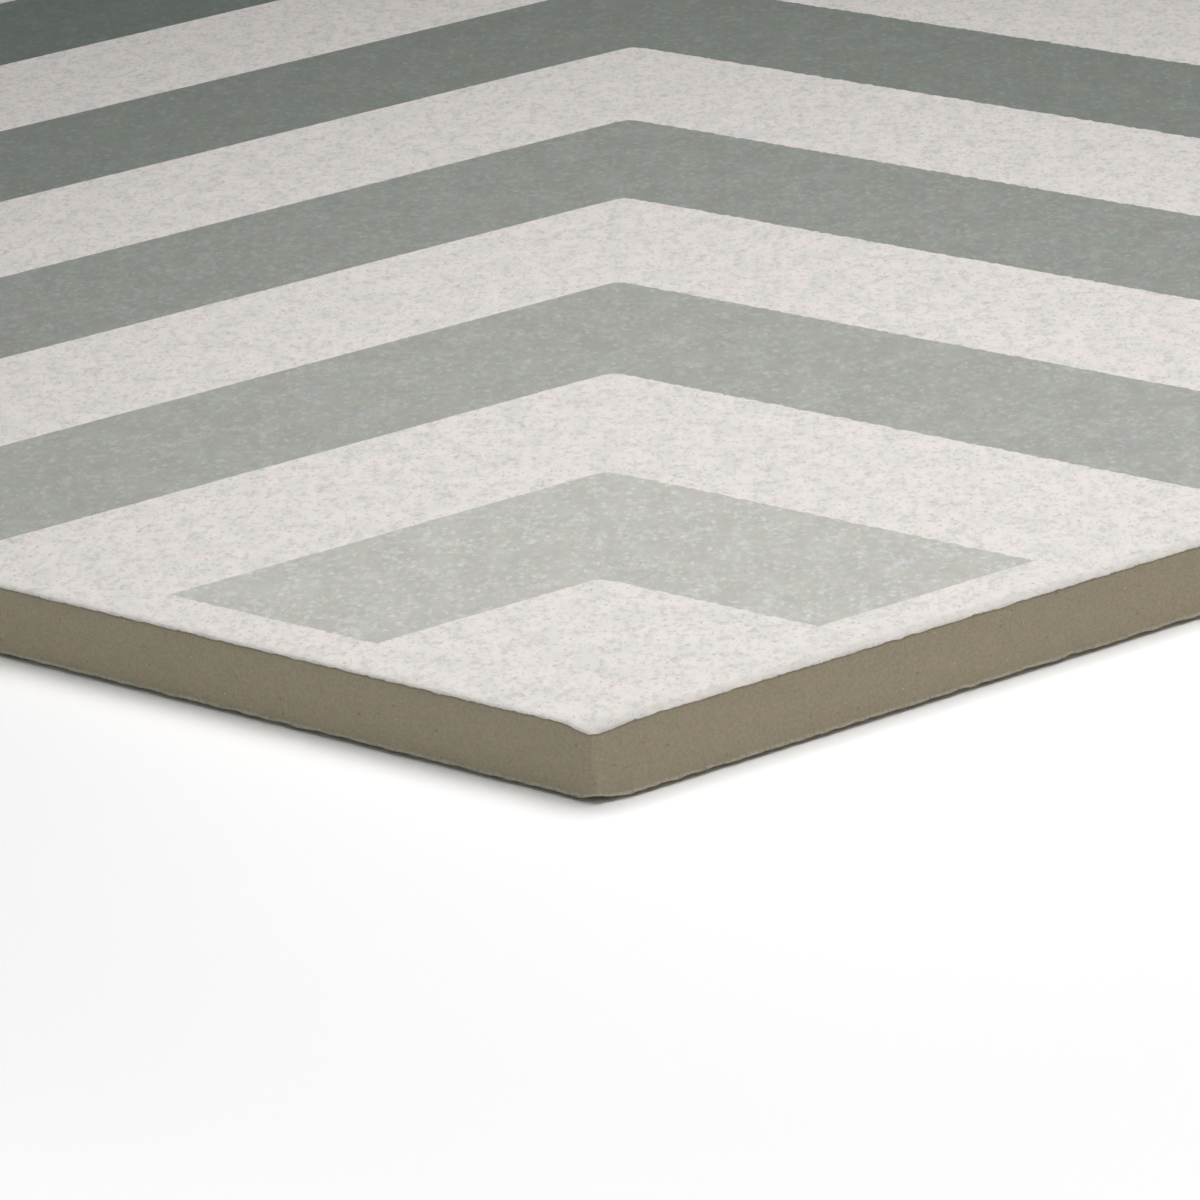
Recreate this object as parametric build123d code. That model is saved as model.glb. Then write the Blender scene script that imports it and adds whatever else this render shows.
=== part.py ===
from build123d import *

import os
from math import cos, floor, radians

# A hexagon porcelain tile, pressed and fired as one piece. All lengths are in millimetres.
# It lies on its back. The origin is the middle of the plane that its back keys rest on, +Z goes up
# through the glazed face, and two opposite corners of the hexagon point along -Y and +Y.

# Driving dimensions of the tile
SIDE = 125.0  # one edge of the hexagon, which is also centre to corner
THICKNESS = 8.0  # from the plane that the keys rest on to the glazed face
CORNER_RADIUS = 0.6  # the six upright corners, seen from above
FACE_EDGE_RADIUS = 0.4  # eased edge round the glazed face
BACK_EDGE_RADIUS = 0.2  # edge round the back

# Driving dimensions of the keys, the low pads on the back that bed into the mortar
KEY_HEIGHT = 0.35  # how far a key stands out of the back
KEY_PITCH = 21.0  # centre to centre of two neighbouring keys
KEY_GROOVE = 3.5  # width of the groove between two keys, at its root
KEY_DRAFT = 40.0  # lean of a key's sides from upright, in degrees
KEY_MARGIN = 7.0  # least plain strip between the keys and the tile's edge

# What follows from them
HEXAGON = 6
HALF_CORNER = cos(radians(180 / HEXAGON))  # middle of an edge over corner, from the centre
CORNERS_ON_Y = 90.0  # turn of a hexagon whose corners lie on the Y axis
CORNERS_ON_X = 0.0  # turn of a hexagon whose corners lie on the X axis
KEY_HALF_WIDTH = (KEY_PITCH - KEY_GROOVE) / 2  # centre to flat side, at the root


def slab():
    """The body without its keys: a hexagon with rounded corners and eased edges."""
    outline = RegularPolygon(SIDE, HEXAGON, rotation=CORNERS_ON_Y)
    body = extrude(Pos(0, 0, KEY_HEIGHT) * outline, THICKNESS - KEY_HEIGHT)
    body = fillet(body.edges().filter_by(Axis.Z), CORNER_RADIUS)
    body = fillet(body.faces().sort_by(Axis.Z)[-1].edges(), FACE_EDGE_RADIUS)
    return fillet(body.faces().sort_by(Axis.Z)[0].edges(), BACK_EDGE_RADIUS)


def key_rings():
    """How many rings of keys fit round the middle one, inside the plain strip."""
    to_edge = SIDE * HALF_CORNER - KEY_MARGIN - KEY_HALF_WIDTH / HALF_CORNER
    return floor(to_edge / (KEY_PITCH * HALF_CORNER))


def key_centres():
    """Centres of the keys, a honeycomb whose outline is a hexagon turned like the tile."""
    rings = key_rings()
    for column in range(-rings, rings + 1):
        lowest = max(-rings, -rings - column)
        highest = min(rings, rings - column)
        for row in range(lowest, highest + 1):
            yield KEY_PITCH * HALF_CORNER * column, KEY_PITCH * (row + column / 2)


def key():
    """One key at the middle of the back: a hexagon that narrows towards the plane it rests on."""
    root = RegularPolygon(KEY_HALF_WIDTH, HEXAGON, major_radius=False, rotation=CORNERS_ON_X)
    return extrude(Pos(0, 0, KEY_HEIGHT) * root, -KEY_HEIGHT, taper=KEY_DRAFT)


def tile():
    """The whole tile as one solid."""
    one_key = key()
    return slab() + [Pos(x, y) * one_key for x, y in key_centres()]


os.makedirs("parts", exist_ok=True)
export_step(tile(), "parts/tile.step")
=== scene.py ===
import math

import bmesh
import bpy
from mathutils import Matrix, Vector


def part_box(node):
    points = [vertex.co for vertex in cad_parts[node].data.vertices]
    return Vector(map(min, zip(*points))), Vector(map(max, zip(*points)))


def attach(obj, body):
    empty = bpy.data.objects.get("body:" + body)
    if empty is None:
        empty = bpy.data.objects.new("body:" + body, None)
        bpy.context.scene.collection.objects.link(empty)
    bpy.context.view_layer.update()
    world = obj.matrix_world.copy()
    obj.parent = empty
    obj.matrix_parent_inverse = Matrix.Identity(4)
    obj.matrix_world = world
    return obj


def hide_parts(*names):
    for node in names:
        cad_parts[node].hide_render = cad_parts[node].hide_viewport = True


# A hexagon porcelain tile lying on its back: a printed, matt glazed face on a bare taupe body, with
# keys on the back. Two corners lie on the Y axis. Lengths are in metres, given in millimetres times MM.

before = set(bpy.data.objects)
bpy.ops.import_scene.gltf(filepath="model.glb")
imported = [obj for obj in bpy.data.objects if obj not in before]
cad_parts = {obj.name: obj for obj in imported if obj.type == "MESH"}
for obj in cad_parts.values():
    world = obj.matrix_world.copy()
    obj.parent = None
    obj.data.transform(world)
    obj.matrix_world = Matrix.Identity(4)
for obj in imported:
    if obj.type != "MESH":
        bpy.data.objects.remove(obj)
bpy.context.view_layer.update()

MM = 0.001
TOUCH = 0.1 * MM  # what lies nearer than this counts as touching
HEXAGON = 6
RIGHT_ANGLE = math.radians(90)
TURN_30 = math.radians(30)
COS_30 = math.cos(TURN_30)
TAN_30 = math.tan(TURN_30)

# The pressed shape
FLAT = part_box("tile")[1].x  # centre to the middle of an edge
SIDE = FLAT / COS_30  # one edge, which is also centre to corner
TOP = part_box("tile")[1].z  # glazed face above the plane that the keys rest on
BACK = 0.35 * MM  # bottom of the grooves between the keys
CORNER_RADIUS = 0.6 * MM  # upright corners, seen from above
FACE_RADIUS = 0.4 * MM  # eased edge round the face
BACK_RADIUS = 0.2 * MM  # edge round the back
GLAZE_FOOT = 7.8 * MM  # height at which the glaze ends, on the eased edge
WALL_INSET = 0.05 * MM  # how far the wall stands back from the two edges
RECESS_INSET = 0.10 * MM  # how far the body stands back right under the glaze
RECESS_TOP = 7.73 * MM
RECESS_FOOT = 7.45 * MM

# The keys on the back
KEY_PITCH = 21.0 * MM  # centre to centre
KEY_GROOVE = 3.5 * MM  # groove between two keys, at its root
KEY_DRAFT = math.radians(40)  # lean of a key's sides from upright
KEY_RINGS = 5  # rings of keys round the middle one
KEY_EASE = 0.12 * MM  # rounded rim of a key

# How finely the mesh is divided
STEPS_ALONG_SIDE = (25, 20)  # an edge is cut into the first number, and each length into the second
STEPS_ROUND_CORNER = 12
STEPS_ROUND_BACK = 3
STEPS_ROUND_FACE = 6
STEPS_ROUND_KEY = 2
WALL_HEIGHTS = (0.8, 1.2, 2.0, 3.3, 4.7, 6.0, 6.9)  # rings between the two edges, in millimetres
BACK_STRIP = 1.0 * MM  # flat strip inside the edge of the back
FACE_STRIPS = (0.9 * MM, 2.4 * MM)  # flat strips inside the edge of the face
GRID_MARGIN = 5.0 * MM  # the coarse grid of the face starts this far in
GRID_STEPS = (7, 7)
SMOOTH_BELOW = math.radians(35)  # sharper turns of the surface stay crisp

# Unevenness and wear, where a pair of lengths gives its start and the place at which it is full
GLAZE_WAVE = 0.36 * MM  # waves along the edge of the glaze
GLAZE_WAVE_HEIGHTS = (6.9 * MM, RECESS_TOP)
WORN_TIP = 0.73 * MM  # how far the glaze is worn down at a corner
WORN_TIP_REACH = 3.6 * MM
WORN_TIP_HEIGHTS = (5.0 * MM, 7.4 * MM)
BLUNT_SHARE = 0.33  # the wear is less by this share at the very corner
BLUNT_REACH = 0.5 * MM
CORNER_SHADE_REACH = (2.4 * MM, 0.3 * MM)  # painted shade darkens the glaze this near to a corner, for the rounded tip that gets less light
NEAR_CORNER_SHIFT = 0.43 * MM  # the near corner sits this far to the left, in line with its left edge
NEAR_CORNER_REACH = 4.5 * MM
BACK_CHIPS = 0.13 * MM  # depth of the chips along the edge of the back
BACK_CHIPS_LIFT = 0.12 * MM  # how far they raise that edge
BACK_WEAR_HEIGHTS = (1.3 * MM, 0.6 * MM)
BACK_WEAR_INSETS = (0.8 * MM, 0.3 * MM)
BACK_CORNER_LIFT = 0.55 * MM  # how far the back is worn up at a corner
BACK_CORNER_REACH = 2.6 * MM
WALL_SWELL = 0.05 * MM
WALL_SWELL_FOOT = (0.55 * MM, 1.3 * MM)
WALL_SWELL_TOP = (7.3 * MM, 6.1 * MM)
FACE_SAG = 0.05 * MM
FACE_SAG_HEIGHTS = (7.9 * MM, TOP)
FACE_SAG_INSETS = (0.9 * MM, 8.0 * MM)

# The print on the face, in millimetres
SIDE_MM = SIDE / MM
FLAT_MM = FLAT / MM
MARGIN = 5.77  # plain rim between the stripes and the tile's edge
RIM = MARGIN / COS_30  # the rim measured along an edge
STRIPE_COUNT = 10  # from the near corner, the first pale, the next grey and so on
STRIPE = 2 * (SIDE_MM - RIM) / STRIPE_COUNT  # a stripe measured along an edge
PRINT_SHIFT = -0.57  # the print sits this far off centre along X
PRINT_WANDER = 0.4  # how far the outlines of the stripes wander, from side to side
PRINT_FADE = 0.08  # a stripe's colour fades this far to either side of its outline
PEAK_ROUND = 0.6  # how softly the chevrons turn at their peaks
PRINT_DRAWN = 1.1  # the grain of the print is this many times longer along Y
GREY_CURVE = 0.72  # below 1, the first greys darken faster than the last

# The line where the glaze meets the body, in millimetres above the foot of the glaze
GLAZE_RAGGED = 0.45  # how far the line wanders up and down
GLAZE_FADE = (-0.05, -0.01)  # the body turns to glaze between these heights
SHADOW_HEIGHTS_UNDER_GLAZE = (-0.32, -0.08)  # painted shadow under the glaze's overhang: the body darkens towards the glaze between these heights
LIP_SHADE_REACH = (1.5, 0.1)  # the lip darkens between these distances from the tile's edge, partly for thinner glaze and partly as painted shade on the rounded edge

# Grains in the print and the body, in radii of a grain
GRAIN_LEAST = 0.4  # the smallest grains, where the largest are 1
GRAIN_SHAKE = 3  # how far a grain's outline is shaken
GRAIN_SHAKE_SIZE = 2  # over what length it is shaken
SEED_SHIFT = (17.3, 31.7, 43.1)  # from one seed's pattern to the next, in millimetres

# Colours, as linear light
PALE = (0.80, 0.77, 0.75, 1)
PALE_COOL = (0.68, 0.695, 0.68, 1)
PALE_PINK = (0.86, 0.77, 0.74, 1)
DARK_FLECK = (0.33, 0.335, 0.31, 1)
FIRST_GREY = (0.52, 0.522, 0.494, 1)
LAST_GREY = (0.178, 0.207, 0.186, 1)
GREY_DULL = (0.76, 0.76, 0.74, 1)  # a grey is multiplied by this in its dark grains
GREY_BRIGHT = (1.50, 1.55, 1.64, 1)  # and by this in its light ones
# colour of the darker lip: thinner glaze and painted shade on the rounded edge, and painted shade at the
# corners
THIN_GLAZE_AND_SHADE = (0.50, 0.48, 0.44, 1)
TAUPE_OLIVE = (0.455, 0.42, 0.302, 1)
TAUPE_RED = (0.50, 0.425, 0.312, 1)
TAUPE_DARK = (0.352, 0.314, 0.226, 1)
# painted highlight along the edge of the back, broken into patches
TAUPE_HIGHLIGHT = (0.70, 0.69, 0.59, 1)
# painted shadow under the glaze's overhang
PAINTED_SHADOW_UNDER_GLAZE = (0.15, 0.13, 0.09, 1)
DARK_MINERAL = (0.15, 0.135, 0.10, 1)
WHITE_MINERAL = (0.75, 0.72, 0.64, 1)

# How the surfaces take the light
SPECULAR_LEVEL = 0.35
GLAZE_ROUGHNESS = 0.6
BODY_ROUGHNESS = 0.78
GLAZE_GRAIN = 0.03  # height of the grain in the glaze, in millimetres
BODY_GRAIN = 0.02  # height of the grain in the body, in millimetres

# The table top
FLOOR_REACH = 4.0
FLOOR_UNDER_EDGE = 3.0 * MM  # how far the table reaches in under the tile's edge
FLOOR_LIT = (0.86, 0.86, 0.86, 1)  # the white that lights the tile
FLOOR_SEEN = (1.02, 1.03, 1.05, 1)  # the white that is seen
SHADE_MIDDLE = -30  # Y of the middle of the shaded part of the table, in millimetres
SHADE_REACH = (98, 190)  # from there, the shading ends between these distances, in millimetres

# The studio light
ALL_ROUND = (0.97, 1, 0.99, 1)
ALL_ROUND_STRENGTH = 0.03
NEAR_PART = (0, -0.11, 0)  # what the two side lamps point at
MIDDLE = (0, 0, 0)
FAR_PART = (0, 0.1, 0)
WARM_WHITE = (1, 0.985, 0.975)
WARMER_WHITE = (1, 0.98, 0.96)
PEACH_WHITE = (1, 0.85, 0.76)
GREEN_WHITE = (0.86, 1, 0.97)

# Camera of the photograph
LENS = 152.17
SENSOR = 36.0
EYE = Vector((23.76, -523.4, 221.58)) * MM
AZIMUTH = math.radians(3.267)
ELEVATION = math.radians(26.697)
ROLL = math.radians(-3.70)
NEAREST_SEEN = 10 * MM


class Value:
    """A number or colour that varies over a surface. Sums with it add Math nodes to its material."""

    def __init__(self, socket):
        self.socket = socket

    def sum(self, operation, *numbers):
        """What a Math node makes of these numbers and values."""
        tree = self.socket.id_data
        node = tree.nodes.new("ShaderNodeMath")
        node.operation = operation
        for socket, number in zip(node.inputs, numbers):
            if isinstance(number, Value):
                tree.links.new(number.socket, socket)
            else:
                socket.default_value = number
        return Value(node.outputs[0])

    def __add__(self, other):
        return self.sum("ADD", self, other)

    def __sub__(self, other):
        return self.sum("SUBTRACT", self, other)

    def __rsub__(self, other):
        return self.sum("SUBTRACT", other, self)

    def __mul__(self, other):
        return self.sum("MULTIPLY", self, other)

    def __truediv__(self, other):
        return self.sum("DIVIDE", self, other)

    def __rtruediv__(self, other):
        return self.sum("DIVIDE", other, self)

    def __pow__(self, other):
        return self.sum("POWER", self, other)

    def __mod__(self, other):
        return self.sum("FLOORED_MODULO", self, other)

    def __lt__(self, other):
        return self.sum("LESS_THAN", self, other)

    def __abs__(self):
        return self.sum("ABSOLUTE", self)

    def __floor__(self):
        return self.sum("FLOOR", self)

    def least(self, other):
        return self.sum("MINIMUM", self, other)

    def most(self, other):
        return self.sum("MAXIMUM", self, other)

    __radd__ = __add__
    __rmul__ = __mul__


class Finish:
    """A material under way. Its patterns read the place on the piece in millimetres."""

    def __init__(self, name):
        self.material = bpy.data.materials.new(name)
        self.material.use_nodes = True
        self.tree = self.material.node_tree
        self.tree.nodes.clear()
        place = Value(self.node("TexCoord").outputs["Object"])
        scaled = self.node("VectorMath", {"operation": "SCALE"}, {"Vector": place, "Scale": 1 / MM})
        self.place = Value(scaled.outputs["Vector"])
        axes = self.node("SeparateXYZ", sockets={"Vector": self.place}).outputs
        self.x, self.y = Value(axes["X"]), Value(axes["Y"])

    def node(self, kind, settings=None, sockets=None):
        """Adds a node: its settings first, then a value or a link for each named socket."""
        node = self.tree.nodes.new("ShaderNode" + kind)
        for name, setting in (settings or {}).items():
            setattr(node, name, setting)
        for name, given in (sockets or {}).items():
            if isinstance(given, Value):
                self.tree.links.new(given.socket, node.inputs[name])
            else:
                node.inputs[name].default_value = given
        return node

    def noted(self, name):
        """A measure that was kept with the mesh."""
        return Value(self.node("Attribute", {"attribute_name": name}).outputs["Fac"])

    def eased(self, value, low, high):
        """0 where the value is at low and beyond, 1 at high and beyond, and eased between them."""
        sockets = {"Value": value, "From Min": low, "From Max": high}
        return Value(self.node("MapRange", {"interpolation_type": "SMOOTHSTEP"}, sockets).outputs[0])

    def mixed(self, share, first, second, how="MIX"):
        """The first colour, and by this share the second laid over it."""
        settings = {"data_type": "RGBA", "blend_type": how}
        return Value(self.node("Mix", settings, {0: share, 6: first, 7: second}).outputs[2])

    def scaled_and_moved(self, vector, scale, shift):
        """A vector times a scale, plus a shift."""
        sockets = {0: vector, 1: scale, 2: shift}
        return Value(self.node("VectorMath", {"operation": "MULTIPLY_ADD"}, sockets).outputs[0])

    def seeded_place(self, space, seed):
        """The place on the piece, shifted by the seed. In 2D, the patterns are drawn out along Y."""
        drawn = (1, 1 / PRINT_DRAWN, 1) if space == "2D" else (1, 1, 1)
        return self.scaled_and_moved(self.place, drawn, [way * seed for way in SEED_SHIFT])

    def noise(self, space, size, seed, detail, roughness):
        sockets = {"Vector": self.seeded_place(space, seed), "Scale": 1 / size, "Detail": detail}
        sockets["Roughness"] = roughness
        return self.node("TexNoise", {"noise_dimensions": space}, sockets).outputs

    def cloud(self, space, size, seed, detail=2, roughness=0.5):
        """Noise about one half, with patches this many millimetres wide, in 2D or 3D space."""
        return Value(self.noise(space, size, seed, detail, roughness)["Fac"])

    def tints(self, space, size, seed, detail=2, roughness=0.5):
        """The same noise in colours about middle grey."""
        return Value(self.noise(space, size, seed, detail, roughness)["Color"])

    def grains(self, space, spacing, radius, share, seed, soft):
        """1 in scattered ragged grains of about this radius. This share of the cells holds a grain."""
        shake = self.tints(space, GRAIN_SHAKE_SIZE * radius, seed, detail=1)
        shaken = self.scaled_and_moved(shake, [GRAIN_SHAKE * radius] * 3, self.seeded_place(space, seed))
        sockets = {"Vector": shaken, "Scale": 1 / spacing}
        cells = self.node("TexVoronoi", {"voronoi_dimensions": space}, sockets)
        luck = self.node("SeparateColor", sockets={"Color": Value(cells.outputs["Color"])}).outputs
        reach = radius * (GRAIN_LEAST + (1 - GRAIN_LEAST) * Value(luck["Green"]))
        from_middle = Value(cells.outputs["Distance"]) * spacing
        return self.eased(from_middle - reach, soft, -soft) * (Value(luck["Red"]) < share)

    def ceramic(self, colour, roughness, relief):
        """A dull ceramic surface with this colour, roughness and relief in millimetres."""
        bump = self.node("Bump", sockets={"Strength": 1.0, "Distance": MM, "Height": relief})
        sockets = {"Base Color": colour, "Roughness": roughness, "Specular IOR Level": SPECULAR_LEVEL}
        sockets["Normal"] = Value(bump.outputs["Normal"])
        return Value(self.node("BsdfPrincipled", sockets=sockets).outputs["BSDF"])

    def either(self, share, first, second):
        """The first surface, and by this share the second."""
        return Value(self.node("MixShader", sockets={0: share, 1: first, 2: second}).outputs[0])

    def finished(self, surface):
        """The material, with this surface."""
        self.node("OutputMaterial", sockets={"Surface": surface})
        return self.material


def only(objects):
    """Selects these objects, and makes the first the active one."""
    bpy.ops.object.select_all(action="DESELECT")
    for piece in objects:
        piece.select_set(True)
    bpy.context.view_layer.objects.active = objects[0]


def pick_edges(piece, wanted):
    """In edit mode, selects the edges that a test accepts, and nothing else."""
    bpy.ops.mesh.select_mode(type="EDGE")
    bpy.ops.mesh.select_all(action="DESELECT")
    shape = bmesh.from_edit_mesh(piece.data)
    for edge in shape.edges:
        if wanted(edge):
            edge.select_set(True)
    bmesh.update_edit_mesh(piece.data)


def edge_profile():
    """Inset and height of each ring of the tile's edge, from the back round to the face."""
    yield BACK_STRIP, BACK
    for step in range(STEPS_ROUND_BACK + 1):
        turn = RIGHT_ANGLE * step / STEPS_ROUND_BACK
        yield BACK_RADIUS * (1 - math.sin(turn)), BACK + BACK_RADIUS * (1 - math.cos(turn))
    for height in WALL_HEIGHTS:
        yield WALL_INSET, height * MM
    yield WALL_INSET, RECESS_FOOT
    yield RECESS_INSET, RECESS_TOP
    foot = math.asin((GLAZE_FOOT - TOP + FACE_RADIUS) / FACE_RADIUS)
    for step in range(STEPS_ROUND_FACE + 1):
        turn = foot + (RIGHT_ANGLE - foot) * step / STEPS_ROUND_FACE
        yield FACE_RADIUS * (1 - math.cos(turn)), TOP - FACE_RADIUS * (1 - math.sin(turn))
    for inset in FACE_STRIPS:
        yield inset, TOP


def pressed_edge():
    """The tile's rim: a hexagon outline with rounded corners, raised ring by ring."""
    bpy.ops.mesh.primitive_circle_add(vertices=HEXAGON, radius=SIDE)
    rim = bpy.context.active_object
    bpy.ops.object.mode_set(mode="EDIT")
    bpy.ops.mesh.bevel(
        affect="VERTICES",
        offset_type="ABSOLUTE",
        offset=CORNER_RADIUS * TAN_30,
        segments=STEPS_ROUND_CORNER,
    )
    pick_edges(rim, lambda edge: edge.calc_length() > SIDE / 2)
    for steps in STEPS_ALONG_SIDE:
        bpy.ops.mesh.subdivide(number_cuts=steps - 1)
    bpy.ops.mesh.select_all(action="SELECT")
    at_inset, at_height = 0, 0
    for ring, (inset, height) in enumerate(edge_profile()):
        rise = (0, 0, height - at_height)
        if ring:
            bpy.ops.mesh.extrude_region_move(TRANSFORM_OT_translate={"value": rise})
        else:
            bpy.ops.transform.translate(value=rise)
        share = (FLAT - inset) / (FLAT - at_inset)
        bpy.ops.transform.resize(value=(share, share, 1), center_override=(0, 0, 0))
        at_inset, at_height = inset, height
    bpy.ops.object.mode_set(mode="OBJECT")
    return rim


def face_grid():
    """The flat of the face inside the rim, as a grid of triangles."""
    bpy.ops.mesh.primitive_circle_add(
        vertices=HEXAGON, radius=SIDE - GRID_MARGIN / COS_30, fill_type="TRIFAN", location=(0, 0, TOP)
    )
    grid = bpy.context.active_object
    bpy.ops.object.transform_apply()
    bpy.ops.object.mode_set(mode="EDIT")
    for steps in GRID_STEPS:
        bpy.ops.mesh.subdivide(number_cuts=steps - 1)
    bpy.ops.object.mode_set(mode="OBJECT")
    return grid


def key_centres():
    """Centres of the keys, a honeycomb whose outline is a hexagon turned like the tile."""
    for column in range(-KEY_RINGS, KEY_RINGS + 1):
        lowest = max(-KEY_RINGS, -KEY_RINGS - column)
        highest = min(KEY_RINGS, KEY_RINGS - column)
        for row in range(lowest, highest + 1):
            yield KEY_PITCH * COS_30 * column, KEY_PITCH * (row + column / 2)


def key_field():
    """The middle of the back: a honeycomb sheet whose cells are pressed out into keys."""
    cells = []
    for x, y in key_centres():
        bpy.ops.mesh.primitive_circle_add(
            vertices=HEXAGON,
            radius=KEY_PITCH / 2 / COS_30,
            fill_type="NGON",
            location=(x, y, BACK),
            rotation=(0, 0, TURN_30),
        )
        cells.append(bpy.context.active_object)
    only(cells)
    bpy.ops.object.join()
    bpy.ops.object.transform_apply()
    field = bpy.context.active_object
    bpy.ops.object.mode_set(mode="EDIT")
    bpy.ops.mesh.select_all(action="SELECT")
    bpy.ops.mesh.remove_doubles(threshold=TOUCH)
    bpy.ops.mesh.flip_normals()
    bpy.ops.mesh.select_mode(type="FACE")
    bpy.ops.mesh.inset(thickness=KEY_GROOVE / 2, use_individual=True)
    bpy.ops.mesh.inset(thickness=BACK * math.tan(KEY_DRAFT), depth=BACK, use_individual=True)
    bpy.ops.mesh.region_to_loop()
    bpy.ops.mesh.bevel(offset=KEY_EASE, segments=STEPS_ROUND_KEY, affect="EDGES")
    bpy.ops.object.mode_set(mode="OBJECT")
    return field


def welded(parts):
    """Joins the rim, the face and the back into one closed skin."""
    only(parts)
    bpy.ops.object.join()
    tile = bpy.context.active_object
    tile.name = tile.data.name = "patterned_tile"
    bpy.ops.object.mode_set(mode="EDIT")
    for height in (TOP, BACK):
        pick_edges(tile, lambda edge: edge.is_boundary and abs(edge.verts[0].co.z - height) < TOUCH)
        bpy.ops.mesh.fill()
    bpy.ops.mesh.select_all(action="SELECT")
    bpy.ops.mesh.normals_make_consistent(inside=False)
    bpy.ops.object.mode_set(mode="OBJECT")
    return tile


def ease(value, low, high):
    """0 at low and beyond, 1 at high and beyond, and eased between them."""
    share = min(1, max(0, (value - low) / (high - low)))
    return share * share * (3 - 2 * share)


def fall(value, reach):
    """1 at nothing, and down in a straight line to 0 at the reach and beyond."""
    return max(0, 1 - value / reach)


def inset_of(point):
    """How far a point lies inside the hexagon's outline, seen from above."""
    across = point.x / 2 + point.y * COS_30, point.x / 2 - point.y * COS_30, point.x
    return FLAT - max(abs(width) for width in across)


def from_corner(point):
    """How far a point lies from the nearest corner, seen from above."""
    turns = [RIGHT_ANGLE + 2 * TURN_30 * corner for corner in range(HEXAGON)]
    return min(math.hypot(point.x - SIDE * math.cos(t), point.y - SIDE * math.sin(t)) for t in turns)


# Where each unevenness lies, from 0 to 1

def on_glaze_edge(point):
    if point.z < GLAZE_FOOT:
        return ease(point.z, *GLAZE_WAVE_HEIGHTS)
    return ease(point.z, TOP, GLAZE_FOOT) if inset_of(point) < FACE_RADIUS else 0


def on_worn_corner(point):
    away = from_corner(point)
    wear = fall(away, WORN_TIP_REACH) - BLUNT_SHARE * fall(away, BLUNT_REACH)
    return wear * ease(point.z, *WORN_TIP_HEIGHTS)


# painted shade: where the glaze near a corner is darkened, for the rounded tip that gets less light
def on_shaded_corner(point):
    return ease(from_corner(point), *CORNER_SHADE_REACH)


def on_near_corner(point):
    return ease(math.hypot(point.x, point.y + SIDE), NEAR_CORNER_REACH, 0)


def on_back_edge(point):
    return ease(point.z, *BACK_WEAR_HEIGHTS) * ease(inset_of(point), *BACK_WEAR_INSETS)


def on_back_corner(point):
    return fall(from_corner(point), BACK_CORNER_REACH) ** 2 * on_back_edge(point)


def on_wall(point):
    return ease(point.z, *WALL_SWELL_FOOT) * ease(point.z, *WALL_SWELL_TOP)


def on_face(point):
    return ease(point.z, *FACE_SAG_HEIGHTS) * ease(inset_of(point), *FACE_SAG_INSETS)


def clouds(name, size, depth, contrast=1.0):
    """A soft noise for uneven surfaces, with patches of about this size."""
    noise = bpy.data.textures.new(name, "CLOUDS")
    noise.noise_scale = size
    noise.noise_depth = depth
    noise.contrast = contrast
    noise.use_clamp = True
    return noise


def worked(tile, name, where, strength, direction, noise=None, level=0.0):
    """Pushes part of the surface in or out, weighted by place and, if given, by a noise."""
    weights = tile.vertex_groups.new(name=name)
    for vertex in tile.data.vertices:
        weight = where(vertex.co)
        if weight > 0:
            weights.add([vertex.index], weight, "REPLACE")
    push = tile.modifiers.new(name, "DISPLACE")
    push.vertex_group = name
    push.direction = direction
    push.strength = strength
    push.mid_level = level
    push.texture_coords = "LOCAL"
    push.texture = noise


def noted(tile, name, measure):
    """Keeps a measure of each point of the even shape, which the finish reads later."""
    values = tile.data.attributes.new(name, "FLOAT", "POINT")
    for vertex, value in zip(tile.data.vertices, values.data):
        value.value = measure(vertex.co)


def patterned_tile():
    """The tile's mesh, with the unevenness of pressing, glazing and wear."""
    tile = welded([pressed_edge(), face_grid(), key_field()])
    noted(tile, "moulded_height", lambda point: point.z / MM)
    noted(tile, "painted_corner_shade", on_shaded_corner)
    noted(tile, "back_edge_highlight", on_back_edge)
    waves = clouds("glaze_waves", size=1.7 * MM, depth=3)
    chips = clouds("arris_chips", size=1.4 * MM, depth=3, contrast=1.6)
    swell = clouds("wall_swell", size=4 * MM, depth=1)
    sag = clouds("face_sag", size=14 * MM, depth=1)
    worked(tile, "glaze_edge", on_glaze_edge, GLAZE_WAVE, "Z", waves, level=0.55)
    worked(tile, "worn_corner", on_worn_corner, -WORN_TIP, "Z")
    worked(tile, "near_corner_aside", on_near_corner, -NEAR_CORNER_SHIFT, "X")
    worked(tile, "near_corner_back", on_near_corner, NEAR_CORNER_SHIFT * TAN_30, "Y")
    worked(tile, "back_edge", on_back_edge, -BACK_CHIPS, "NORMAL", chips, level=-0.1)
    worked(tile, "back_edge_lift", on_back_edge, BACK_CHIPS_LIFT, "Z", chips, level=0.4)
    worked(tile, "back_corner", on_back_corner, BACK_CORNER_LIFT, "Z")
    worked(tile, "wall", on_wall, -WALL_SWELL, "NORMAL", swell)
    worked(tile, "face", on_face, -FACE_SAG, "Z", sag)
    only([tile])
    for push in list(tile.modifiers):
        bpy.ops.object.modifier_apply(modifier=push.name)
    bpy.ops.object.shade_smooth_by_angle(angle=SMOOTH_BELOW)
    return tile


def chevrons(finish):
    """Where the print is grey, a stripe's number from the near corner, and the distance to the edge."""
    wander = (finish.cloud("2D", 1.0, seed=1, detail=1) - 0.5) * PRINT_WANDER
    x = finish.x - PRINT_SHIFT + wander
    y = finish.y + wander
    aside = (x * x + PEAK_ROUND**2) ** 0.5
    reach = (y + SIDE_MM + aside * TAN_30 - RIM) / STRIPE
    from_edge = FLAT_MM - abs(x).most(abs(x / 2 + y * COS_30)).most(abs(x / 2 - y * COS_30))
    into_stripe = (0.5 - abs(reach % 2 - 1.5)) * STRIPE * COS_30
    grey = finish.eased(into_stripe.least(from_edge - MARGIN), -PRINT_FADE, PRINT_FADE)
    return grey, math.floor(reach), from_edge


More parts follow.
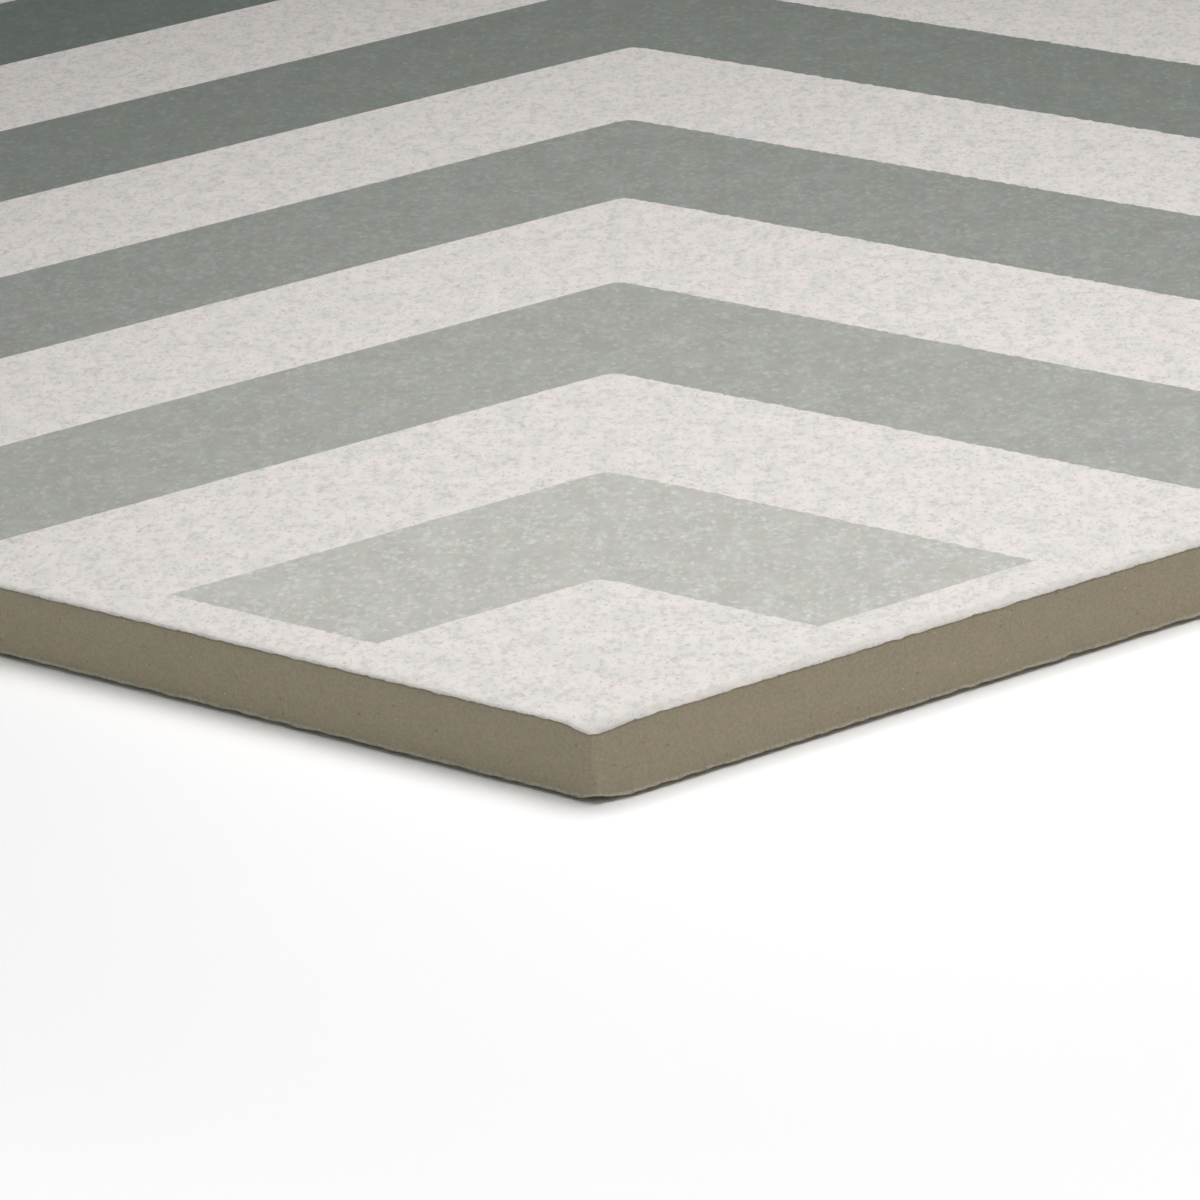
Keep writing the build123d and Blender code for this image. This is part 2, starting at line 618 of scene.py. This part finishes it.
class CementGrain:
    """The patterns of sandy cement that the pale and the grey print share."""

    def __init__(self, finish):
        self.drift = finish.cloud("2D", 3.2, seed=2, roughness=0.6)
        self.grit = finish.cloud("2D", 1.0, seed=4, detail=4, roughness=0.85)
        crowd = finish.cloud("2D", 2.4, seed=6, detail=1)
        self.strokes = finish.eased(self.grit + (crowd - 0.5) * 0.2, 0.54, 0.34)
        self.tints = finish.tints("2D", 1.4, seed=5, detail=3, roughness=0.65)


def pale_print(finish, grain):
    """Off-white with cool and pink patches, dark strokes and specks."""
    blush = finish.cloud("2D", 1.7, seed=3, roughness=0.6)
    specks = finish.grains("2D", spacing=1.0, radius=0.15, share=0.7, seed=7, soft=0.06)
    blots = finish.grains("2D", spacing=6.0, radius=0.45, share=0.6, seed=10, soft=0.2)
    colour = finish.mixed(finish.eased(grain.drift, 0.36, 0.68) * 0.55, PALE, PALE_COOL)
    colour = finish.mixed(finish.eased(blush, 0.46, 0.70) * 0.34, colour, PALE_PINK)
    colour = finish.mixed(0.08, colour, grain.tints, "SOFT_LIGHT")
    colour = finish.mixed(grain.strokes * 0.30, colour, DARK_FLECK)
    return finish.mixed(specks * 0.38 + blots * 0.25, colour, DARK_FLECK)


def grey_print(finish, grain, stripe):
    """Greys that darken from stripe to stripe, with dull patches, sand and light grains."""
    darkness = ((stripe - 1) / (STRIPE_COUNT - 2)) ** GREY_CURVE
    ground = finish.mixed(darkness, FIRST_GREY, LAST_GREY)
    dull = finish.mixed(1.0, ground, GREY_DULL, "MULTIPLY")
    bright = finish.mixed(1.0, ground, GREY_BRIGHT, "MULTIPLY")
    sand = finish.eased(grain.grit + (grain.drift - 0.5) * 0.4, 0.50, 0.70)
    shade = finish.cloud("2D", 4.5, seed=12, roughness=0.6)
    broad_tints = finish.tints("2D", 3.6, seed=11, roughness=0.6)
    mica = finish.grains("2D", spacing=1.3, radius=0.25, share=0.55, seed=8, soft=0.18)
    crystals = finish.grains("2D", spacing=4.2, radius=0.5, share=0.7, seed=13, soft=0.3)
    colour = finish.mixed(0.18, ground, grain.tints, "SOFT_LIGHT")
    colour = finish.mixed(0.08, colour, broad_tints, "SOFT_LIGHT")
    colour = finish.mixed(grain.strokes * 0.28 + finish.eased(shade, 0.42, 0.66) * 0.15, colour, dull)
    colour = finish.mixed(sand * 0.3 + finish.eased(shade, 0.5, 0.3) * 0.06, colour, bright)
    return finish.mixed(mica * 0.4 + crystals * 0.2, colour, bright)


def printed_glaze(finish):
    """The glazed face: pale and grey print in chevron stripes, and a darker lip along the tile's edge,
    partly thinner glaze and partly painted shade, with painted shade at the corners.
    """
    grey, stripe, from_edge = chevrons(finish)
    grain = CementGrain(finish)
    colour = finish.mixed(grey, pale_print(finish, grain), grey_print(finish, grain, stripe))
    # the lip is darkened for thinner glaze and as painted shade on the rounded edge; the corners get painted
    # shade
    lip_and_corner_shade = finish.eased(from_edge, *LIP_SHADE_REACH) * 0.4 + finish.noted("painted_corner_shade") * 0.4
    colour = finish.mixed(lip_and_corner_shade, colour, THIN_GLAZE_AND_SHADE)
    return finish.ceramic(colour, GLAZE_ROUGHNESS + (grain.grit - 0.5) * 0.2, grain.grit * GLAZE_GRAIN)


def bare_body(finish, from_glaze):
    """The unglazed body: dense, matt and taupe, with mineral grains and a painted highlight, broken into
    patches, along the edge of the back.
    """
    mottle = finish.cloud("3D", 1.6, seed=1, detail=3, roughness=0.7)
    grit = finish.cloud("3D", 0.35, seed=2, roughness=0.9)
    tints = finish.tints("3D", 0.8, seed=3, detail=4, roughness=0.75)
    white = finish.grains("3D", spacing=0.95, radius=0.10, share=0.5, seed=4, soft=0.03)
    dark = finish.grains("3D", spacing=1.1, radius=0.18, share=0.5, seed=5, soft=0.07)
    # painted highlight on the edge of the back, broken into patches by the grit noise
    edge_highlight = finish.eased(finish.noted("back_edge_highlight"), 0.6, 1.0) * finish.eased(grit, 0.34, 0.52)
    colour = finish.mixed(finish.eased(mottle, 0.36, 0.64), TAUPE_OLIVE, TAUPE_RED)
    colour = finish.mixed(0.14, colour, tints, "SOFT_LIGHT")
    colour = finish.mixed(finish.eased(grit, 0.60, 0.38) * 0.5, colour, TAUPE_DARK)
    colour = finish.mixed(dark * 0.4, colour, DARK_MINERAL)
    colour = finish.mixed(white * 0.55, colour, WHITE_MINERAL)
    # painted shadow under the glaze's overhang
    colour = finish.mixed(finish.eased(from_glaze, *SHADOW_HEIGHTS_UNDER_GLAZE) * 0.42, colour, PAINTED_SHADOW_UNDER_GLAZE)
    colour = finish.mixed(edge_highlight * 0.7, colour, TAUPE_HIGHLIGHT)
    return finish.ceramic(colour, BODY_ROUGHNESS + (grit - 0.5) * 0.15, (grit + mottle) * BODY_GRAIN)


def glazed_porcelain():
    """The whole tile's finish: bare body up to the glaze line, printed glaze above it."""
    finish = Finish("glazed_porcelain")
    from_glaze = finish.noted("moulded_height") - GLAZE_FOOT / MM
    ragged = (finish.cloud("3D", 0.6, seed=9, roughness=0.6) - 0.5) * GLAZE_RAGGED
    glazed = finish.eased(from_glaze + ragged, *GLAZE_FADE)
    return finish.finished(finish.either(glazed, bare_body(finish, from_glaze), printed_glaze(finish)))


def white_table():
    """The table's finish: white that keeps the shade near the tile, plain white beyond, clear from below."""
    finish = Finish("white_table")
    path = finish.node("LightPath").outputs
    seen = Value(path["Is Camera Ray"])
    for kind in ("Is Glossy Ray", "Is Transmission Ray"):
        seen = seen.most(Value(path[kind]))
    white = finish.mixed(seen, FLOOR_LIT, FLOOR_SEEN)
    paint = Value(finish.node("BsdfDiffuse", sockets={"Color": white}).outputs["BSDF"])
    plain_white = Value(finish.node("Emission").outputs["Emission"])
    along = finish.y - SHADE_MIDDLE
    away = (finish.x * finish.x + along * along) ** 0.5
    top = finish.either(finish.eased(away, *SHADE_REACH) * seen, paint, plain_white)
    clear = Value(finish.node("BsdfTransparent").outputs["BSDF"])
    below = Value(finish.node("NewGeometry").outputs["Backfacing"])
    return finish.finished(finish.either(below, top, clear))


def studio_floor():
    """A table top that is open under the tile, so that the back can be lit and seen."""
    bpy.ops.mesh.primitive_circle_add(vertices=HEXAGON, radius=FLOOR_REACH, fill_type="NGON")
    floor = bpy.context.active_object
    floor.name = "floor"
    bpy.ops.object.mode_set(mode="EDIT")
    bpy.ops.mesh.inset(thickness=FLOOR_REACH * COS_30 - FLAT + FLOOR_UNDER_EDGE)
    bpy.ops.mesh.delete(type="FACE")
    bpy.ops.object.mode_set(mode="OBJECT")
    floor.data.materials.append(white_table())


def softbox(name, place, aim, size, power, colour):
    """A square studio lamp that points at a place."""
    bpy.ops.object.light_add(type="AREA", location=place)
    lamp = bpy.context.active_object
    lamp.name = name
    lamp.rotation_euler = (Vector(aim) - Vector(place)).to_track_quat("-Z", "Y").to_euler()
    lamp.data.size = size
    lamp.data.energy = power
    lamp.data.color = colour
    lamp.visible_camera = False
    return lamp


def studio_light():
    """A lamp above the near corner, weaker ones at its sides, behind and below, and light all round."""
    world = bpy.data.worlds.new("studio")
    bpy.context.scene.world = world
    world.use_nodes = True
    background = world.node_tree.nodes["Background"].inputs
    background["Color"].default_value = ALL_ROUND
    background["Strength"].default_value = ALL_ROUND_STRENGTH
    above = (0.045, -0.088, 0.3)
    softbox("overhead_lamp", above, aim=(0.03, -0.093, 0), size=0.2, power=0.955, colour=WARM_WHITE)
    softbox("right_lamp", (0.4, -0.5, 0.5), aim=NEAR_PART, size=0.3, power=0.41, colour=PEACH_WHITE)
    softbox("left_lamp", (-0.45, -0.5, 0.5), aim=NEAR_PART, size=0.3, power=0.29, colour=GREEN_WHITE)
    softbox("lamp_below", (0, 0, -0.5), aim=MIDDLE, size=0.5, power=2.0, colour=WARMER_WHITE)
    behind = softbox("lamp_behind", (0, 0.8, 0.13), aim=FAR_PART, size=0.4, power=0.6, colour=WARMER_WHITE)
    behind.visible_glossy = False  # it would gleam on the far part of the face


def photograph_camera():
    """The camera at the photograph's place and angle."""
    turn = Matrix.Rotation(AZIMUTH, 3, "Z") @ Matrix.Rotation(RIGHT_ANGLE - ELEVATION, 3, "X")
    turn = turn @ Matrix.Rotation(ROLL, 3, "Z")
    bpy.ops.object.camera_add(location=EYE, rotation=turn.to_euler())
    camera = bpy.context.active_object
    camera.data.lens = LENS
    camera.data.sensor_width = SENSOR
    camera.data.clip_start = NEAREST_SEEN
    bpy.context.scene.camera = camera


bpy.ops.object.select_all(action="DESELECT")
tile = patterned_tile()
tile.data.materials.clear()
tile.data.materials.append(glazed_porcelain())
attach(tile, "root")
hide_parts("tile")
studio_floor()
studio_light()
photograph_camera()
bpy.context.scene.view_settings.view_transform = "Standard"
